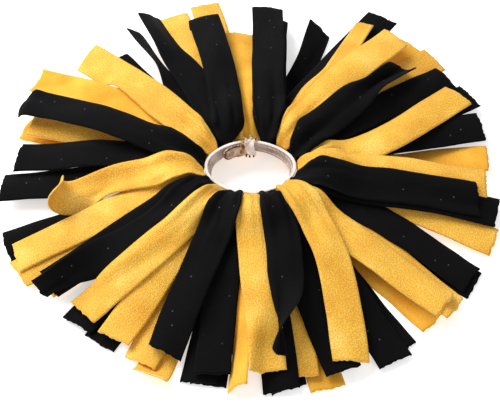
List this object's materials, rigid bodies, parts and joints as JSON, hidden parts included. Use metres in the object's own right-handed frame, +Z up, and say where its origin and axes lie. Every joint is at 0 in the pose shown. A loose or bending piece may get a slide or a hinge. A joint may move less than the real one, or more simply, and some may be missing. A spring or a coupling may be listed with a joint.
{
  "type": "cheer pom pom",
  "caption": "Rosette of folded fabric strips sewn round an oval elastic loop, open in the middle; each strip lifts or droops at its fold.",
  "frame": {"origin": "middle of the elastic loop, on the surface that the pom pom lies on", "axes": "+Z up, through the loop; +X along the loop's long way; +Y away from the viewer, towards the elastic's joined ends"},
  "size_m": [0.2533, 0.2486, 0.0228],
  "materials": {
    "elastic": "ribbed knit elastic, off-white",
    "sealed_end": "heat-sealed elastic end, amber brown, glossy",
    "wrap": "crumpled woven tape, cream",
    "thread": "twisted sewing thread, golden tan",
    "gold_fabric": "brushed stretch knit with a fine shimmer, golden yellow",
    "black_fabric": "brushed stretch knit, soft matt black"
  },
  "bodies": {
    "loop": {"elastic_band": "elastic", "overlapped_end": "sealed_end", "joint_wrap": "wrap", "joint_thread": "thread", "upper_seam": "thread", "lower_seam": "thread"},
    "upper_strip_01": {"upper_strip_01": "gold_fabric"},
    "upper_strip_02": {"upper_strip_02": "black_fabric"},
    "upper_strip_03": {"upper_strip_03": "gold_fabric"},
    "upper_strip_04": {"upper_strip_04": "black_fabric"},
    "upper_strip_05": {"upper_strip_05": "black_fabric"},
    "upper_strip_06": {"upper_strip_06": "gold_fabric"},
    "upper_strip_07": {"upper_strip_07": "black_fabric"},
    "upper_strip_08": {"upper_strip_08": "gold_fabric"},
    "upper_strip_09": {"upper_strip_09": "black_fabric"},
    "upper_strip_10": {"upper_strip_10": "gold_fabric"},
    "upper_strip_11": {"upper_strip_11": "black_fabric"},
    "upper_strip_12": {"upper_strip_12": "gold_fabric"},
    "upper_strip_13": {"upper_strip_13": "black_fabric"},
    "upper_strip_14": {"upper_strip_14": "gold_fabric"},
    "upper_strip_15": {"upper_strip_15": "black_fabric"},
    "lower_strip_01": {"lower_strip_01": "gold_fabric"},
    "lower_strip_02": {"lower_strip_02": "black_fabric"},
    "lower_strip_03": {"lower_strip_03": "gold_fabric"},
    "lower_strip_04": {"lower_strip_04": "black_fabric"},
    "lower_strip_05": {"lower_strip_05": "gold_fabric"},
    "lower_strip_06": {"lower_strip_06": "gold_fabric"},
    "lower_strip_07": {"lower_strip_07": "black_fabric"},
    "lower_strip_08": {"lower_strip_08": "gold_fabric"},
    "lower_strip_09": {"lower_strip_09": "black_fabric"},
    "lower_strip_10": {"lower_strip_10": "gold_fabric"},
    "lower_strip_11": {"lower_strip_11": "black_fabric"},
    "lower_strip_12": {"lower_strip_12": "gold_fabric"},
    "lower_strip_13": {"lower_strip_13": "black_fabric"},
    "lower_strip_14": {"lower_strip_14": "black_fabric"},
    "lower_strip_15": {"lower_strip_15": "gold_fabric"},
    "lower_strip_16": {"lower_strip_16": "black_fabric"},
    "lower_strip_17": {"lower_strip_17": "gold_fabric"},
    "lower_strip_18": {"lower_strip_18": "black_fabric"}
  },
  "joints": [
    {"name": "upper_strip_01_lift", "type": "hinge", "parent": "loop", "child": "upper_strip_01", "pos_m": [0.02613, 0, 0.0141], "axis": [0.2672, -0.9636, 0], "range_deg": [0, 40]},
    {"name": "upper_strip_02_lift", "type": "hinge", "parent": "loop", "child": "upper_strip_02", "pos_m": [0.02293, 0.00878, 0.0141], "axis": [0.682, -0.7314, 0], "range_deg": [0, 40]},
    {"name": "upper_strip_03_lift", "type": "hinge", "parent": "loop", "child": "upper_strip_03", "pos_m": [0.01666, 0.01451, 0.0141], "axis": [0.8829, -0.4695, 0], "range_deg": [0, 40]},
    {"name": "upper_strip_04_lift", "type": "hinge", "parent": "loop", "child": "upper_strip_04", "pos_m": [0.00918, 0.0186, 0.0141], "axis": [0.9976, -0.0698, 0], "range_deg": [0, 40]},
    {"name": "upper_strip_05_lift", "type": "hinge", "parent": "loop", "child": "upper_strip_05", "pos_m": [-0.01095, 0.01726, 0.0141], "axis": [0.9367, 0.3502, 0], "range_deg": [0, 40]},
    {"name": "upper_strip_06_lift", "type": "hinge", "parent": "loop", "child": "upper_strip_06", "pos_m": [-0.02015, 0.01205, 0.0141], "axis": [0.6018, 0.7986, 0], "range_deg": [0, 40]},
    {"name": "upper_strip_07_lift", "type": "hinge", "parent": "loop", "child": "upper_strip_07", "pos_m": [-0.0249, 0.0042, 0.0141], "axis": [0.2164, 0.9763, 0], "range_deg": [0, 40]},
    {"name": "upper_strip_08_lift", "type": "hinge", "parent": "loop", "child": "upper_strip_08", "pos_m": [-0.02497, -0.00348, 0.0141], "axis": [-0.2588, 0.9659, 0], "range_deg": [0, 40]},
    {"name": "upper_strip_09_lift", "type": "hinge", "parent": "loop", "child": "upper_strip_09", "pos_m": [-0.02113, -0.01102, 0.0141], "axis": [-0.5807, 0.8141, 0], "range_deg": [0, 40]},
    {"name": "upper_strip_10_lift", "type": "hinge", "parent": "loop", "child": "upper_strip_10", "pos_m": [-0.01488, -0.01567, 0.0141], "axis": [-0.7986, 0.6018, 0], "range_deg": [0, 40]},
    {"name": "upper_strip_11_lift", "type": "hinge", "parent": "loop", "child": "upper_strip_11", "pos_m": [-0.00764, -0.0184, 0.0141], "axis": [-0.9563, 0.2924, 0], "range_deg": [0, 40]},
    {"name": "upper_strip_12_lift", "type": "hinge", "parent": "loop", "child": "upper_strip_12", "pos_m": [0, -0.01935, 0.0141], "axis": [-0.9998, 0.0175, 0], "range_deg": [0, 40]},
    {"name": "upper_strip_13_lift", "type": "hinge", "parent": "loop", "child": "upper_strip_13", "pos_m": [0.00833, -0.01826, 0.0141], "axis": [-0.9724, -0.2334, 0], "range_deg": [0, 40]},
    {"name": "upper_strip_14_lift", "type": "hinge", "parent": "loop", "child": "upper_strip_14", "pos_m": [0.01603, -0.01483, 0.0141], "axis": [-0.7934, -0.6088, 0], "range_deg": [0, 40]},
    {"name": "upper_strip_15_lift", "type": "hinge", "parent": "loop", "child": "upper_strip_15", "pos_m": [0.02363, -0.00927, 0.0141], "axis": [-0.1908, -0.9816, 0], "range_deg": [0, 40]},
    {"name": "lower_strip_01_droop", "type": "hinge", "parent": "loop", "child": "lower_strip_01", "pos_m": [0.02594, 0.00296, 0.0109], "axis": [-0.1132, -0.9936, 0], "range_deg": [-30, 0]},
    {"name": "lower_strip_02_droop", "type": "hinge", "parent": "loop", "child": "lower_strip_02", "pos_m": [0.02254, 0.01033, 0.0109], "axis": [0.3502, -0.9367, 0], "range_deg": [-30, 0]},
    {"name": "lower_strip_03_droop", "type": "hinge", "parent": "loop", "child": "lower_strip_03", "pos_m": [0.01634, 0.01532, 0.0109], "axis": [0.6626, -0.749, 0], "range_deg": [-30, 0]},
    {"name": "lower_strip_04_droop", "type": "hinge", "parent": "loop", "child": "lower_strip_04", "pos_m": [0.00909, 0.01832, 0.0109], "axis": [0.8988, -0.4384, 0], "range_deg": [-30, 0]},
    {"name": "lower_strip_05_droop", "type": "hinge", "parent": "loop", "child": "lower_strip_05", "pos_m": [0.00071, 0.01972, 0.0109], "axis": [0.9936, 0.1132, 0], "range_deg": [-30, 0]},
    {"name": "lower_strip_06_droop", "type": "hinge", "parent": "loop", "child": "lower_strip_06", "pos_m": [-0.00773, 0.01873, 0.0109], "axis": [0.9171, 0.3987, 0], "range_deg": [-30, 0]},
    {"name": "lower_strip_07_droop", "type": "hinge", "parent": "loop", "child": "lower_strip_07", "pos_m": [-0.01544, 0.01522, 0.0109], "axis": [0.8039, 0.5948, 0], "range_deg": [-30, 0]},
    {"name": "lower_strip_08_droop", "type": "hinge", "parent": "loop", "child": "lower_strip_08", "pos_m": [-0.02291, 0.00967, 0.0109], "axis": [0.3502, 0.9367, 0], "range_deg": [-30, 0]},
    {"name": "lower_strip_09_droop", "type": "hinge", "parent": "loop", "child": "lower_strip_09", "pos_m": [-0.02602, 0.00073, 0.0109], "axis": [-0.1908, 0.9816, 0], "range_deg": [-30, 0]},
    {"name": "lower_strip_10_droop", "type": "hinge", "parent": "loop", "child": "lower_strip_10", "pos_m": [-0.02349, -0.00744, 0.0109], "axis": [-0.5446, 0.8387, 0], "range_deg": [-30, 0]},
    {"name": "lower_strip_11_droop", "type": "hinge", "parent": "loop", "child": "lower_strip_11", "pos_m": [-0.01822, -0.01306, 0.0109], "axis": [-0.766, 0.6428, 0], "range_deg": [-30, 0]},
    {"name": "lower_strip_12_droop", "type": "hinge", "parent": "loop", "child": "lower_strip_12", "pos_m": [-0.01159, -0.01696, 0.0109], "axis": [-0.9239, 0.3827, 0], "range_deg": [-30, 0]},
    {"name": "lower_strip_13_droop", "type": "hinge", "parent": "loop", "child": "lower_strip_13", "pos_m": [-0.00488, -0.01895, 0.0109], "axis": [-0.989, 0.1478, 0], "range_deg": [-30, 0]},
    {"name": "lower_strip_14_droop", "type": "hinge", "parent": "loop", "child": "lower_strip_14", "pos_m": [0.00211, -0.01935, 0.0109], "axis": [-0.9936, -0.1132, 0], "range_deg": [-30, 0]},
    {"name": "lower_strip_15_droop", "type": "hinge", "parent": "loop", "child": "lower_strip_15", "pos_m": [0.00899, -0.01801, 0.0109], "axis": [-0.9397, -0.342, 0], "range_deg": [-30, 0]},
    {"name": "lower_strip_16_droop", "type": "hinge", "parent": "loop", "child": "lower_strip_16", "pos_m": [0.01536, -0.01508, 0.0109], "axis": [-0.8339, -0.5519, 0], "range_deg": [-30, 0]},
    {"name": "lower_strip_17_droop", "type": "hinge", "parent": "loop", "child": "lower_strip_17", "pos_m": [0.02085, -0.01073, 0.0109], "axis": [-0.682, -0.7314, 0], "range_deg": [-30, 0]},
    {"name": "lower_strip_18_droop", "type": "hinge", "parent": "loop", "child": "lower_strip_18", "pos_m": [0.02503, -0.00499, 0.0109], "axis": [-0.4924, -0.8704, 0], "range_deg": [-30, 0]}
  ]
}
